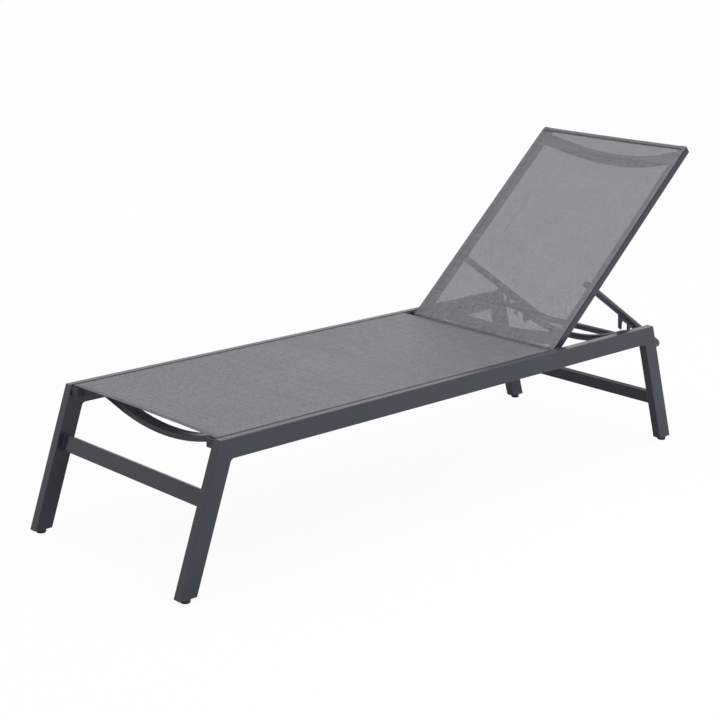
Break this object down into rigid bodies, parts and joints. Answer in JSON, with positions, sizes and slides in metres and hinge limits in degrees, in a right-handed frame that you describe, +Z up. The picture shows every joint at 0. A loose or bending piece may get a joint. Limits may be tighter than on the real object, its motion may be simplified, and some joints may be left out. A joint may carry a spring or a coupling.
{
  "type": "reclining sun lounger",
  "caption": "Arm-less reclining sun lounger: metal tube frame, taut mesh seat and back, back hinged at the rails and held up by a notched folding prop.",
  "frame": {"origin": "under the middle of the lounger, on the ground", "axes": "+Z up, +X from the foot end to the head end, -Y the left side of someone lying on it"},
  "size_m": [1.9206, 0.6, 0.8693],
  "materials": {
    "frame_coat": "anthracite powder coat, satin, fine texture",
    "seat_mesh": "coated mesh weave, matt",
    "back_mesh": "coated mesh weave, matt",
    "edging": "smooth",
    "black_plastic": "moulded, fine grain",
    "fastener_steel": "zinc plated"
  },
  "bodies": {
    "base": {"side_rail_left": "frame_coat", "side_rail_right": "frame_coat", "foot_leg_left": "frame_coat", "foot_leg_right": "frame_coat", "head_leg_left": "frame_coat", "head_leg_right": "frame_coat", "sling_end_block_left": "black_plastic", "sling_end_block_right": "black_plastic", "foot_glide_left": "black_plastic", "foot_glide_right": "black_plastic", "head_glide_left": "black_plastic", "head_glide_right": "black_plastic", "seat_edge_rod_left": "edging", "seat_edge_rod_right": "edging", "foot_crossbar": "frame_coat", "head_crossbar": "frame_coat", "foot_bow_tube": "frame_coat", "adjuster_bar": "frame_coat", "seat_sling": "seat_mesh", "back_hinge_bolts": "fastener_steel", "back_hinge_rivet_nuts": "fastener_steel", "back_hinge_washers": "fastener_steel"},
    "back_bushes": {"back_hinge_bushes": "black_plastic"},
    "back": {"back_rail_left": "frame_coat", "back_rail_right": "frame_coat", "back_rail_cap_left": "black_plastic", "back_rail_cap_right": "black_plastic", "back_edge_rod_left": "edging", "back_edge_rod_right": "edging", "back_top_bow_tube": "frame_coat", "back_low_bow_tube": "frame_coat", "back_sling": "back_mesh", "prop_hinge_bolts": "fastener_steel", "prop_hinge_rivet_nuts": "fastener_steel"},
    "prop": {"prop_frame": "frame_coat", "hook_plate_left": "frame_coat", "hook_plate_right": "frame_coat", "prop_hinge_washers": "black_plastic"}
  },
  "joints": [
    {"name": "back_lower", "type": "hinge", "parent": "base", "child": "back_bushes", "pos_m": [0.37692, 0, 0.35339], "axis": [0, -1, 0], "range_deg": [-42.3, 0]},
    {"name": "back_raise", "type": "hinge", "parent": "back_bushes", "child": "back", "pos_m": [0.37692, 0, 0.35339], "axis": [0, -1, 0], "range_deg": [0, 24]},
    {"name": "prop_fold", "type": "hinge", "parent": "back", "child": "prop", "pos_m": [0.54629, 0, 0.50751], "axis": [0, -1, 0], "range_deg": [0, 75.2]}
  ],
  "couplings": [
    {"joint": "prop_fold", "follows": "back_lower", "ratio": -1.7778}
  ]
}
